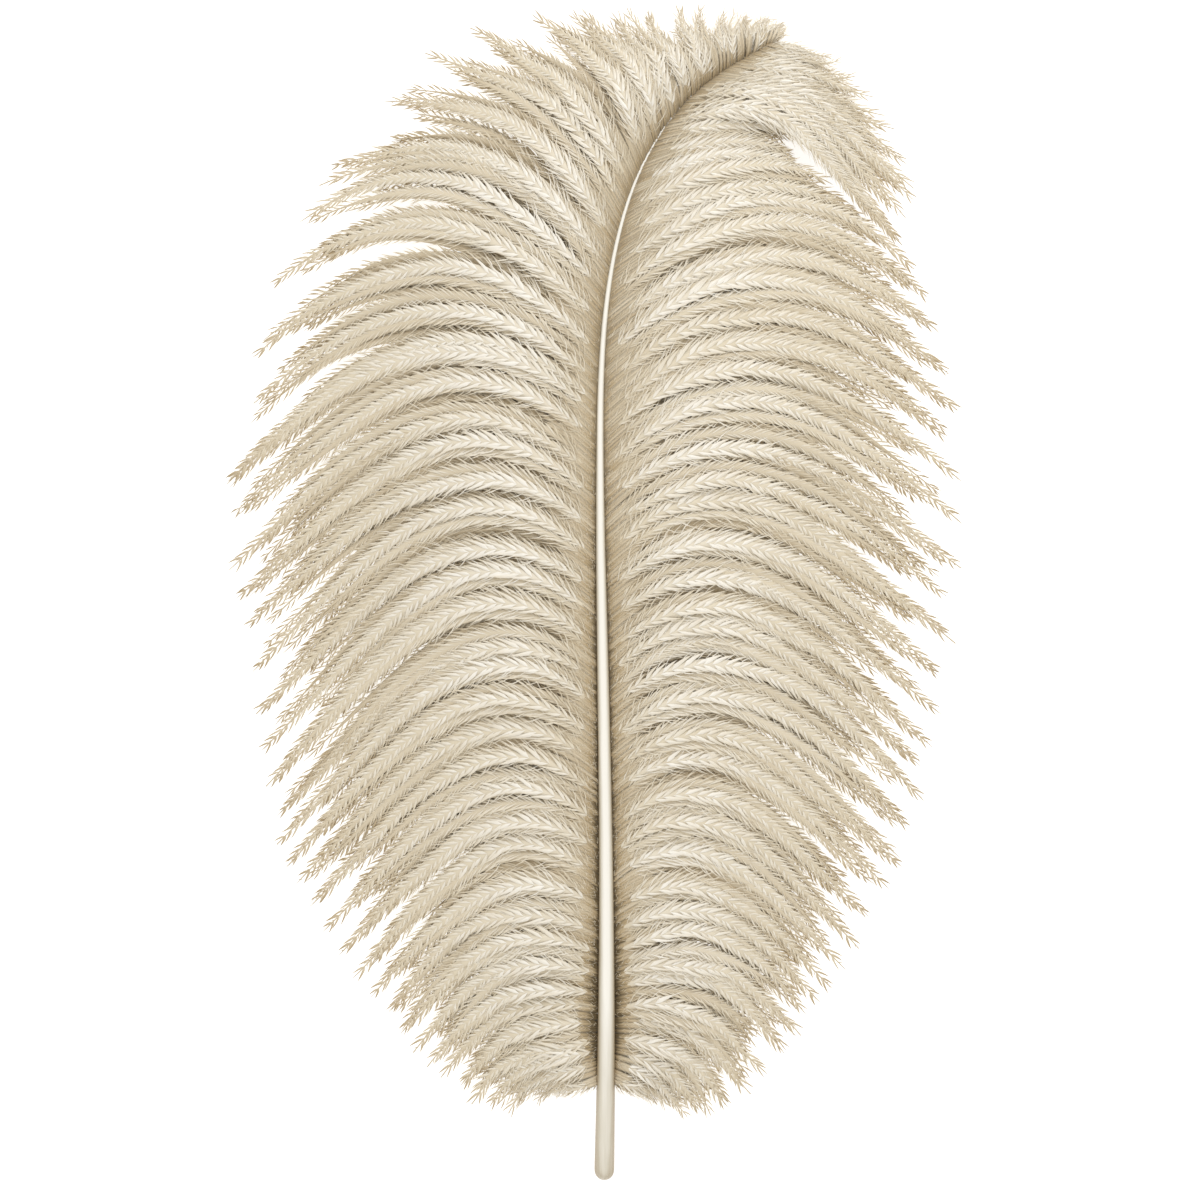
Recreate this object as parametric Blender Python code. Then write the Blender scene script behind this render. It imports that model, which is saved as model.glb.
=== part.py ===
"""An ostrich wing plume that lies on a flat surface, with its upper side up.

The shaft, which is the bare quill and the rachis in one, arches from the quill's end to the
curled tip. A vane leaves it on each side. Each vane is one closed sheet that follows the
barbs: out and forward from the shaft, over a crest, and down to the tips on the surface.

The origin is under the middle of the plume, on the surface that it lies on. +Y runs from the
quill to the tip, +Z is up, and lengths in the tables below are millimetres.
"""

from math import cos, pi, radians, sin, sqrt

import bmesh
import bpy
import numpy as np
from mathutils import Vector

MM = 0.001
GAP = 0.3  # left between a vane and the shaft

# The shaft's middle line and its radius, from the quill's end to the tip: x, y, z, radius.
SHAFT_STATIONS = (
    (4.2, -250.0, 4.05, 4.3),
    (5.0, -195.0, 8.5, 3.8),
    (5.0, -120.0, 15.0, 3.1),
    (3.5, -25.0, 20.5, 2.5),
    (2.4, 60.0, 21.5, 1.7),
    (8.5, 145.0, 18.0, 1.1),
    (20.0, 182.0, 15.0, 0.85),
    (41.0, 213.0, 11.0, 0.6),
    (75.0, 237.0, 6.0, 0.4),
)
SHAFT_RINGS = 56
SHAFT_BEVEL_RESOLUTION = 4
QUILL_END_ROUND = 3.6  # length over which the quill's blunt end is rounded
QUILL_END_RINGS = 5

# Where the barbs of each vane end: the place on the shaft where a barb starts, as a share of
# the shaft's length, the x and y of its tip, and its slope there, as degrees above the line
# that runs straight out to its side.
LEFT_TIPS = (
    (0.090, -14.0, -215.0, -62.0),
    (0.110, -46.0, -222.0, -57.0),
    (0.150, -70.0, -203.0, -52.0),
    (0.240, -101.0, -167.0, -47.0),
    (0.335, -128.0, -128.0, -44.0),
    (0.440, -141.0, -82.0, -45.0),
    (0.535, -151.0, -17.0, -44.0),
    (0.635, -157.2, 52.0, -46.0),
    (0.695, -142.0, 121.0, -41.0),
    (0.745, -118.0, 177.0, -24.0),
    (0.795, -79.0, 227.0, 15.0),
    (0.855, -24.0, 249.0, 40.0),
    (0.920, 30.0, 249.0, 80.0),
    (1.000, 66.0, 247.0, 110.0),
)
RIGHT_TIPS = (
    (0.090, 26.0, -216.0, -58.0),
    (0.110, 54.0, -222.0, -52.0),
    (0.150, 82.0, -197.0, -48.0),
    (0.240, 106.0, -163.0, -46.0),
    (0.335, 132.0, -117.0, -42.0),
    (0.440, 147.0, -64.0, -40.0),
    (0.535, 157.0, -5.0, -38.0),
    (0.635, 157.0, 66.0, -42.0),
    (0.695, 151.0, 105.0, -42.0),
    (0.745, 139.0, 138.0, -44.0),
    (0.795, 136.0, 163.0, -48.0),
    (0.855, 139.0, 186.0, -38.0),
    (0.920, 113.0, 224.0, 10.0),
    (1.000, 84.0, 242.0, 45.0),
)
BARB_START_SLOPE = 45.0  # degrees, where a barb leaves the shaft
START_REACH = 0.50  # how far a barb holds its first direction, as a share of its span
END_REACH = 0.42  # and its last direction

# A vane's height: it leaves the shaft level with its middle, rises to a crest, and falls to
# tips that lie flat on the surface.
CREST_AT = 0.24  # share of a barb's length
LANDS_AT = 0.88  # from here on the barb lies on the surface
CREST_RISE = 7.5  # above the shaft's middle line, halfway along the plume
ROOT_HALF = 0.8  # half the sheet's thickness at the shaft, as a share of the shaft's radius
END_SHARE = 0.02  # the crest fades towards the first and last barbs from here
TIP_THICKNESS = 2.0
FULL_THICKNESS = 4.4
VANE_ROWS = 60  # barbs' rows along the shaft
VANE_COLUMNS = 14  # steps along each row

SHAFT_COLOUR = (0.93, 0.89, 0.80, 1.0)
BARB_COLOUR = (0.76, 0.69, 0.56, 1.0)


def natural_spline(knots, values):
    """A function that runs smoothly through values at knots, with no bend at either end."""
    knots = np.asarray(knots, float)
    values = np.asarray(values, float)
    steps = np.diff(knots)
    slopes = np.diff(values, axis=0) / steps[:, None]
    count = len(knots)
    system = np.eye(count)
    target = np.zeros_like(values)
    for i in range(1, count - 1):
        system[i, i - 1 : i + 2] = steps[i - 1], 2 * (steps[i - 1] + steps[i]), steps[i]
        target[i] = 6 * (slopes[i] - slopes[i - 1])
    bends = np.linalg.solve(system, target)

    def at(place):
        i = int(np.clip(np.searchsorted(knots, place) - 1, 0, count - 2))
        step = steps[i]
        before, after = knots[i + 1] - place, place - knots[i]
        curved = (bends[i] * before**3 + bends[i + 1] * after**3) / (6 * step)
        straight_before = (values[i] / step - bends[i] * step / 6) * before
        straight_after = (values[i + 1] / step - bends[i + 1] * step / 6) * after
        return curved + straight_before + straight_after

    return at


def shaft_spline():
    """The shaft as a function of the share of its length: x, y, z, radius."""
    stations = np.array(SHAFT_STATIONS)
    runs = np.linalg.norm(np.diff(stations[:, :3], axis=0), axis=1)
    shares = np.concatenate(([0.0], np.cumsum(runs))) / runs.sum()
    return natural_spline(shares, stations), runs.sum()


def new_material(name, colour, roughness):
    """A plain horn-like material: no metal."""
    material = bpy.data.materials.new(name)
    material.use_nodes = True
    shader = material.node_tree.nodes["Principled BSDF"]
    shader.inputs["Base Color"].default_value = colour
    shader.inputs["Roughness"].default_value = roughness
    shader.inputs["Metallic"].default_value = 0.0
    return material


def add_object(name, data, material):
    """Puts a mesh or curve in the scene under its node's name."""
    data.materials.append(material)
    item = bpy.data.objects.new(name, data)
    bpy.context.scene.collection.objects.link(item)
    return item


def shaft_rings(length):
    """Places of the shaft's rings, closer together over the rounded end of the quill."""
    rounded = QUILL_END_ROUND / length
    ends = [rounded * (1 - cos(pi / 2 * i / QUILL_END_RINGS)) for i in range(QUILL_END_RINGS)]
    return ends + list(np.linspace(rounded, 1.0, SHAFT_RINGS))


def end_rounding(distance):
    """How much of its radius the quill has at this distance from its end."""
    if distance >= QUILL_END_ROUND:
        return 1.0
    short = 1 - max(distance, 0.04 * QUILL_END_ROUND) / QUILL_END_ROUND
    return sqrt(1 - short**2)


def build_shaft(at, length, material):
    """The quill and rachis: one round tapering rod on a smooth arching line."""
    rings = shaft_rings(length)
    curve = bpy.data.curves.new("shaft", "CURVE")
    curve.dimensions = "3D"
    curve.bevel_depth = MM
    curve.bevel_resolution = SHAFT_BEVEL_RESOLUTION
    curve.use_fill_caps = True
    line = curve.splines.new("POLY")
    line.points.add(len(rings) - 1)
    for point, share in zip(line.points, rings):
        x, y, z, radius = at(share)
        point.co = (x * MM, y * MM, z * MM, 1.0)
        point.radius = radius * end_rounding(share * length)
    line.use_smooth = True
    return add_object("shaft", curve, material)


def barb_course(at, tips, side, share):
    """The four points of the curve that a barb follows in plan, and the shaft's z there."""
    x, y, z, radius = at(share)
    step = 0.002
    ahead = at(min(share + step, 1.0))[:2] - at(max(share - step, 0.0))[:2]
    along = Vector(ahead).normalized()
    outward = Vector((-along.y, along.x)) * -side
    start = Vector((x, y)) + outward * (radius + GAP)
    tip_x, tip_y, end_slope = tips(share)
    tip = Vector((tip_x, tip_y))
    span = (tip - start).length
    first = radians(BARB_START_SLOPE)
    leave = outward * cos(first) + along * sin(first)
    last = radians(end_slope)
    land = Vector((side * cos(last), sin(last)))
    return (start, start + leave * span * START_REACH, tip - land * span * END_REACH, tip), z


def on_course(course, share):
    """The place on a barb's curve."""
    rest = 1 - share
    weights = (rest**3, 3 * rest**2 * share, 3 * rest * share**2, share**3)
    return sum((point * weight for point, weight in zip(course, weights)), Vector((0, 0)))


def top_height(root, crest, share):
    """Height of a vane's upper face at this share of a barb."""
    if share < CREST_AT:
        return root + (crest - root) * sin(pi / 2 * share / CREST_AT)
    fall = min((share - CREST_AT) / (LANDS_AT - CREST_AT), 1.0)
    return TIP_THICKNESS + (crest - TIP_THICKNESS) * (0.5 + 0.5 * cos(pi * fall))


def sheet_thickness(root, share):
    """A vane is as thin as the rachis at its root, full over its middle and thin at the tips."""
    fullness = sin(pi * min(max(share, 0.0), 1.0)) ** 0.5
    ends = root + (TIP_THICKNESS - root) * share
    return ends + (FULL_THICKNESS - ends) * fullness


def vane_point(at, tips, side, place, is_lower):
    """A point of a vane's face: place is the share along the shaft, the share along the vane
    and the share out along the barb."""
    share, along, out = place
    course, middle = barb_course(at, tips, side, share)
    x, y = on_course(course, out)
    radius = at(share)[3]
    fullness = sin(pi * min(max(along, END_SHARE), 1 - END_SHARE)) ** 0.4
    z = top_height(middle + ROOT_HALF * radius, middle + CREST_RISE * fullness, out)
    if is_lower:
        z = max(z - sheet_thickness(2 * ROOT_HALF * radius, out), 0.0)
    return Vector((x, y, z)) * MM


def build_vane(name, at, tip_table, side, material):
    """One vane: a sheet of rows of barbs, thickened down to its lower face."""
    table = np.array(tip_table)
    tips = natural_spline(table[:, 0], table[:, 1:])
    first, last = table[0, 0], table[-1, 0]
    shape = bmesh.new()
    bmesh.ops.create_grid(shape, x_segments=VANE_COLUMNS, y_segments=VANE_ROWS, size=0.5)
    along = shape.verts.layers.float.new("along")
    out = shape.verts.layers.float.new("out")
    for vert in shape.verts:
        vert[along] = vert.co.y + 0.5
        vert[out] = vert.co.x + 0.5
    grown = bmesh.ops.extrude_face_region(shape, geom=shape.faces[:])["geom"]
    lower = {item for item in grown if isinstance(item, bmesh.types.BMVert)}
    for vert in shape.verts:
        place = (first + (last - first) * vert[along], vert[along], vert[out])
        vert.co = vane_point(at, tips, side, place, vert in lower)
    bmesh.ops.recalc_face_normals(shape, faces=shape.faces[:])
    bmesh.ops.triangulate(shape, faces=shape.faces[:])
    mesh = bpy.data.meshes.new(name)
    shape.to_mesh(mesh)
    shape.free()
    mesh.shade_smooth()
    mesh.set_sharp_from_angle(angle=radians(40))
    return add_object(name, mesh, material)


def main():
    for item in list(bpy.data.objects):
        bpy.data.objects.remove(item, do_unlink=True)
    at, length = shaft_spline()
    horn = new_material("shaft_keratin", SHAFT_COLOUR, 0.35)
    down = new_material("barb_keratin", BARB_COLOUR, 0.85)
    build_shaft(at, length, horn)
    build_vane("left_vane", at, LEFT_TIPS, -1, down)
    build_vane("right_vane", at, RIGHT_TIPS, 1, down)


main()
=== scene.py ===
"""An ostrich wing plume, lying upper side up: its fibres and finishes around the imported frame.

The shaft is one horny rod with a shallow groove below. Each vane is made of locks of barbs:
every barb is a fine tapering stem that leaves the shaft forwards, rises over a crest and
droops to the surface, with a row of barbules down each side of it. All lengths in the tables
below are millimetres in the frame of the part, angles are degrees, and a place along a barb or
along the shaft is a share of its length.
"""

import logging
from dataclasses import dataclass, field, replace
from enum import Enum
from math import pi, sqrt

import bmesh
import bpy
import numpy as np
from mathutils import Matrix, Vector

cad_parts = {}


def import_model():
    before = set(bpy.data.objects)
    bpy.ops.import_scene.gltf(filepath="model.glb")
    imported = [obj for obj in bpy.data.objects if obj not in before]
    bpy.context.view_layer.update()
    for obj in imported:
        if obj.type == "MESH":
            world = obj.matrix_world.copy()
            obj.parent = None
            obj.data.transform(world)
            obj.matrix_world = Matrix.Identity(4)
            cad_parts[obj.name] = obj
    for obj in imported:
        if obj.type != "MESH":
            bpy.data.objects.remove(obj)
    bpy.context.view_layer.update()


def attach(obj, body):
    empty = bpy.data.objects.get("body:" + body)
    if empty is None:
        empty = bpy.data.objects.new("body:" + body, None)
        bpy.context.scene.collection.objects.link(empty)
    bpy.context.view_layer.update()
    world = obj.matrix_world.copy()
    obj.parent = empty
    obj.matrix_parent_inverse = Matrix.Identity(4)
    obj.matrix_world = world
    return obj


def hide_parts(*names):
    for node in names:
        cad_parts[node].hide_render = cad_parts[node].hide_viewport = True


Array = np.ndarray
Rows = tuple[tuple[float, ...], ...]

MM = 0.001
# A length that no real vector has, to keep a division by nothing away.
TINY = 1e-12
# No fibre reaches lower than this over the surface that the plume lies on.
LOWEST = 0.15
log = logging.getLogger("plume")


def linear(code: str) -> tuple[float, float, float, float]:
    """Turn an sRGB hex colour into the linear one that a shader takes.

    Args:
        code: six hex digits, such as "e8dcc4".

    Returns:
        Linear red, green and blue, and an alpha of 1.
    """
    parts = [int(code[i : i + 2], 16) / 255 for i in (0, 2, 4)]
    turned = [c / 12.92 if c <= 0.04045 else ((c + 0.055) / 1.055) ** 2.4 for c in parts]
    return (*turned, 1.0)


def unit(vectors: Array) -> Array:
    """Scale vectors in the last axis to a length of one.

    Args:
        vectors: any array whose last axis holds vectors.

    Returns:
        The same array with unit vectors.
    """
    return vectors / np.maximum(np.linalg.norm(vectors, axis=-1, keepdims=True), TINY)


@dataclass(frozen=True)
class Profile:
    """A value that changes along a length, in straight runs between given places."""

    places: tuple[float, ...]
    values: tuple[float, ...]

    def at(self, place: Array) -> Array:
        """Read the value.

        Args:
            place: where along the length, as an array of any shape.

        Returns:
            The value at each place.
        """
        return np.interp(place, self.places, self.values)


def even_run(first: float, last: float) -> Profile:
    """A value that changes evenly from one end of a length to the other."""
    return Profile((0.0, 1.0), (first, last))


class Side(Enum):
    """The two sides of the shaft, and the way along X that each lies."""

    LEFT = -1
    RIGHT = 1

    @property
    def word(self) -> str:
        """The side's name, as it starts a node's name."""
        return self.name.lower()


class NaturalSpline:
    """A smooth run through values at knots, with no bend at either end."""

    def __init__(self, knots: Array, values: Array) -> None:
        """Work out the bend at each knot.

        Args:
            knots: rising numbers.
            values: one row of values for each knot.
        """
        self.knots = np.asarray(knots, float)
        self.values = np.asarray(values, float)
        self.steps = np.diff(self.knots)
        slopes = np.diff(self.values, axis=0) / self.steps[:, None]
        count = len(self.knots)
        system = np.eye(count)
        target = np.zeros_like(self.values)
        for i in range(1, count - 1):
            before, after = self.steps[i - 1], self.steps[i]
            system[i, i - 1 : i + 2] = before, 2 * (before + after), after
            target[i] = 6 * (slopes[i] - slopes[i - 1])
        self.bends = np.linalg.solve(system, target)

    def at(self, places: Array) -> Array:
        """Read the run at many places.

        Args:
            places: an array of knots' units, of any shape.

        Returns:
            The values there, in a last axis of their own.
        """
        places = np.asarray(places, float)
        i = np.clip(np.searchsorted(self.knots, places) - 1, 0, len(self.steps) - 1)
        step = self.steps[i][..., None]
        before = self.knots[i + 1][..., None] - places[..., None]
        after = places[..., None] - self.knots[i][..., None]
        curved = (self.bends[i] * before**3 + self.bends[i + 1] * after**3) / (6 * step)
        first = (self.values[i] / step - self.bends[i] * step / 6) * before
        second = (self.values[i + 1] / step - self.bends[i + 1] * step / 6) * after
        return curved + first + second


@dataclass
class ShaftLine:
    """The middle line of the shaft and its radius, by share of its length.

    Attributes:
        stations: X, Y, Z and radius at places from the quill's end to the tip.
        reading_step: the share to either side of a place that its direction is read over.
    """

    stations: Rows = (
        (4.2, -250.0, 4.05, 4.3),
        (5.0, -195.0, 8.5, 3.8),
        (5.0, -120.0, 15.0, 3.1),
        (3.5, -25.0, 20.5, 2.5),
        (2.4, 60.0, 21.5, 1.7),
        (8.5, 145.0, 18.0, 1.1),
        (20.0, 182.0, 15.0, 0.85),
        (41.0, 213.0, 11.0, 0.6),
        (75.0, 237.0, 6.0, 0.4),
    )
    reading_step: float = 0.002
    length: float = field(init=False)
    spline: NaturalSpline = field(init=False)

    def __post_init__(self) -> None:
        """Lay the smooth line through the stations."""
        rows = np.array(self.stations)
        runs = np.linalg.norm(np.diff(rows[:, :3], axis=0), axis=1)
        self.length = float(runs.sum())
        shares = np.concatenate(([0.0], np.cumsum(runs))) / self.length
        self.spline = NaturalSpline(shares, rows)

    def at(self, shares: Array) -> tuple[Array, Array]:
        """Read places and radii.

        Args:
            shares: shares of the shaft's length.

        Returns:
            The points, in a last axis of three, and the radii.
        """
        read = self.spline.at(shares)
        return read[..., :3], read[..., 3]

    def along(self, shares: Array) -> Array:
        """Read the shaft's direction.

        Args:
            shares: shares of the shaft's length.

        Returns:
            Unit vectors towards the tip.
        """
        ahead, _ = self.at(np.minimum(np.asarray(shares) + self.reading_step, 1.0))
        behind, _ = self.at(np.maximum(np.asarray(shares) - self.reading_step, 0.0))
        return unit(ahead - behind)


@dataclass
class Template:
    """A small closed fibre: a spindle with a few sides, cut into even steps along its length.

    Attributes:
        steps: how many steps it has along its length.
        sides: how many sides it has round it.
        share: how far along the fibre each corner is.
        angle: where round the fibre each corner is, in radians from its side.
        faces: the corners of each face.
    """

    steps: int
    sides: int = 3
    share: Array = field(init=False)
    angle: Array = field(init=False)
    faces: list[list[int]] = field(init=False)

    def __post_init__(self) -> None:
        """Make the spindle from a coarse sphere and read its steps and corners."""
        shape = bmesh.new()
        bmesh.ops.create_uvsphere(shape, u_segments=self.sides, v_segments=self.steps, radius=1.0)
        bmesh.ops.recalc_face_normals(shape, faces=shape.faces[:])
        bmesh.ops.triangulate(shape, faces=shape.faces[:])
        points = np.array([vert.co[:] for vert in shape.verts])
        self.share = np.arccos(np.clip(-points[:, 2], -1, 1)) / pi
        self.share = np.round(self.share * self.steps) / self.steps
        self.angle = np.arctan2(points[:, 1], points[:, 0])
        if not self.is_round:
            self.angle += pi / 2 - self.angle[np.flatnonzero(~self.is_end)[0]]
        faces = [[vert.index for vert in face.verts] for face in shape.faces]
        firsts = [face.index(min(face)) for face in faces]
        # Sorted, because the operators list the same triangles in a new order each run.
        self.faces = sorted(face[i:] + face[:i] for face, i in zip(faces, firsts))
        shape.free()

    @property
    def is_round(self) -> bool:
        """Whether the fibre has enough sides to be shaded as round, not as a ridge."""
        return self.sides > 3

    @property
    def is_end(self) -> Array:
        """Which corners are the fibre's two points."""
        return (self.share <= 0) | (self.share >= 1)


@dataclass
class FibreCloud:
    """Many copies of one template, as arrays, on their way into one mesh."""

    template: Template
    corners: Array
    tone: Array

    @property
    def triangles(self) -> int:
        """How many triangles the copies hold."""
        return len(self.corners) * len(self.template.faces)


def joined_mesh(name: str, clouds: list[FibreCloud]) -> bpy.types.Mesh:
    """Join clouds of fibres into one mesh, with the tone of each corner as an attribute.

    Args:
        name: the mesh's name.
        clouds: the fibres, with corners in millimetres.

    Returns:
        The mesh, in metres.
    """
    points, faces, tones, rounds, base = [], [], [], [], 0
    for cloud in clouds:
        copies, per_copy = cloud.corners.shape[:2]
        points.append(cloud.corners.reshape(-1, 3))
        tones.append(cloud.tone.reshape(-1))
        offsets = base + np.arange(copies)[:, None, None] * per_copy
        faces.append((np.array(cloud.template.faces)[None] + offsets).reshape(-1, 3))
        rounds.append(np.full(cloud.triangles, cloud.template.is_round))
        base += copies * per_copy
    places = np.concatenate(points)
    places[:, 2] = np.maximum(places[:, 2], LOWEST)
    corners = np.concatenate(faces).astype(np.int32)
    mesh = bpy.data.meshes.new(name)
    mesh.vertices.add(len(places))
    mesh.vertices.foreach_set("co", (places * MM).astype(np.float32).ravel())
    mesh.loops.add(corners.size)
    mesh.loops.foreach_set("vertex_index", corners.ravel())
    mesh.polygons.add(len(corners))
    mesh.polygons.foreach_set("loop_start", np.arange(0, corners.size, 3, dtype=np.int32))
    mesh.update(calc_edges=True)
    mesh.polygons.foreach_set("use_smooth", np.concatenate(rounds))
    layer = mesh.attributes.new("tone", "FLOAT", "POINT")
    layer.data.foreach_set("value", np.concatenate(tones).astype(np.float32))
    return mesh


def place(name: str, mesh: bpy.types.Mesh, material: bpy.types.Material) -> bpy.types.Object:
    """Put a finished mesh in the scene.

    Args:
        name: the piece's name.
        mesh: its mesh, already in its place.
        material: its finish.

    Returns:
        The new object, which sits at the origin.
    """
    mesh.materials.append(material)
    piece = bpy.data.objects.new(name, mesh)
    bpy.context.scene.collection.objects.link(piece)
    return piece


@dataclass
class VaneForm:
    """Where the barbs of one vane run: their tips in plan, and their height over the surface.

    Attributes:
        side: the side of the shaft that the vane is on.
        shaft: the line that the barbs start from.
        tips: share of the shaft, X, Y and the barb's direction at places along the outline.
        start_slope: how far forwards the barbs leave the shaft, by share of the shaft.
        start_reach: how long the barbs hold that direction, as a share of their span.
        end_reach: how long the barbs hold their direction at the tip.
        inside: share of the shaft's radius that the barbs start at.
        back: how far behind that they start, by radius, where the shaft hides them.
        crest_at: the share of a barb where it is highest.
        lands_at: the share of a barb where it has come down to the surface.
        crest_rise: height of the crest over the middle of the shaft.
        full_power: how quickly the crest reaches its height from either end of the vane.
        full_limits: the places, as shares of the vane, past which the crest gets no lower.
        tip_thickness: height of the vane's upper face at the tips.
        root_rise: height of a barb's start over the middle of the shaft, in radii.
    """

    side: Side
    shaft: ShaftLine
    tips: Rows
    start_slope: Profile = Profile(
        (0.085, 0.11, 0.14, 0.18, 0.24), (-28.0, -6.0, 15.0, 32.0, 45.0)
    )
    start_reach: float = 0.50
    end_reach: float = 0.42
    inside: float = 0.4
    back: Profile = Profile((0.0, 4.0), (2.2, 1.0))
    crest_at: float = 0.24
    lands_at: float = 0.88
    crest_rise: float = 7.5
    full_power: float = 0.4
    full_limits: tuple[float, float] = (0.02, 0.98)
    tip_thickness: float = 2.0
    root_rise: Profile = Profile((0.0, 0.70, 0.86, 0.94, 1.0), (-0.2, 0.0, 0.6, 1.2, 1.4))
    spline: NaturalSpline = field(init=False)

    def __post_init__(self) -> None:
        """Lay the smooth outline through the tips."""
        rows = np.array(self.tips)
        self.spline = NaturalSpline(rows[:, 0], rows[:, 1:])

    @property
    def first(self) -> float:
        """Share of the shaft's length where the vane starts."""
        return self.tips[0][0]

    @property
    def last(self) -> float:
        """Share of the shaft's length where the vane ends."""
        return self.tips[-1][0]

    def plan(self, start: Array, tip: Array, out: Array) -> Array:
        """Follow barbs in plan.

        Args:
            start: share of the shaft where each barb starts.
            tip: share whose outline point each barb runs to.
            out: shares along the barbs to read, one row for all.

        Returns:
            Plan points, by barb and by share.
        """
        root, radius = self.shaft.at(start)
        along = unit(self.shaft.along(start)[..., :2])
        outward = np.stack((-along[..., 1], along[..., 0]), -1) * -self.side.value
        offset = radius * self.inside - self.back.at(radius)
        begin = root[..., :2] + outward * offset[..., None]
        read = self.spline.at(tip)
        end, slope = read[..., :2], np.radians(read[..., 2])
        span = np.linalg.norm(end - begin, axis=-1, keepdims=True)
        first = np.radians(self.start_slope.at(start))[..., None]
        leave = outward * np.cos(first) + along * np.sin(first)
        land = np.stack((self.side.value * np.cos(slope), np.sin(slope)), -1)
        hold = begin + leave * span * self.start_reach
        come = end - land * span * self.end_reach
        u = out[None, :, None]
        knots = [point[:, None, :] for point in (begin, hold, come, end)]
        weights = ((1 - u) ** 3, 3 * (1 - u) ** 2 * u, 3 * (1 - u) * u**2, u**3)
        return sum(point * weight for point, weight in zip(knots, weights))

    def top(self, start: Array, out: Array) -> Array:
        """Height of the vane's upper face.

        Args:
            start: share of the shaft where each barb starts.
            out: shares along the barbs, one row for all.

        Returns:
            Heights in millimetres, by barb and by share.
        """
        middle, radius = self.shaft.at(start)
        share = (start - self.first) / (self.last - self.first)
        full = np.sin(pi * np.clip(share, *self.full_limits)) ** self.full_power
        crest = (middle[..., 2] + self.crest_rise * full)[:, None]
        root = (middle[..., 2] + self.root_rise.at(start) * radius)[:, None]
        u = out[None, :]
        rise = root + (crest - root) * np.sin(pi / 2 * np.clip(u / self.crest_at, 0, 1))
        fall = np.clip((u - self.crest_at) / (self.lands_at - self.crest_at), 0, 1)
        drop = self.tip_thickness + (crest - self.tip_thickness) * (0.5 + 0.5 * np.cos(pi * fall))
        return np.where(u < self.crest_at, rise, drop)


# How much of its lift a barb has along its length: all of it over the crest, little further out.
SWELL = Profile(
    (0.0, 0.10, 0.17, 0.25, 0.36, 0.50, 0.70, 1.0),
    (0.0, 0.62, 0.92, 1.0, 0.80, 0.42, 0.12, 0.0),
)
# A barb's tone along it: tan at its root, as painted shade by the shaft; pale over the crest, as
# painted light where it faces the lamp; and tan again at its tip.
TONE_ALONG = Profile(
    (0.0, 0.05, 0.10, 0.18, 0.30, 0.50, 0.72, 0.86, 1.0),
    (-0.20, -0.16, -0.06, 0.10, 0.08, 0.03, -0.05, -0.34, -0.62),
)
# Painted shade and light that set upper and lower barbs apart over the crest give way towards their
# tips, where they grow alike.
ALIKE = Profile((0.0, 0.30, 0.58, 0.85, 1.0), (0.0, 0.0, 0.55, 0.85, 1.0))
TIP_TONE = 0.50
# Barbs shorter than this have smaller barbules, down to this share of their size.
SHORT_BARB = 68.0
SMALLEST = 0.45
# The barbules are finer towards the tip of the shaft, by share of its length.
FINER = Profile((0.70, 0.80, 0.90, 1.0), (1.0, 0.90, 0.80, 0.72))
# Places along a barb and along its down that the tables for both share.
BARB_PLACES = (0.0, 0.10, 0.20, 0.36, 0.55, 0.80, 0.92, 1.0)
DOWN_PLACES = (0.0, 0.10, 0.20, 0.45, 0.65, 0.80, 0.90, 1.0)


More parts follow.
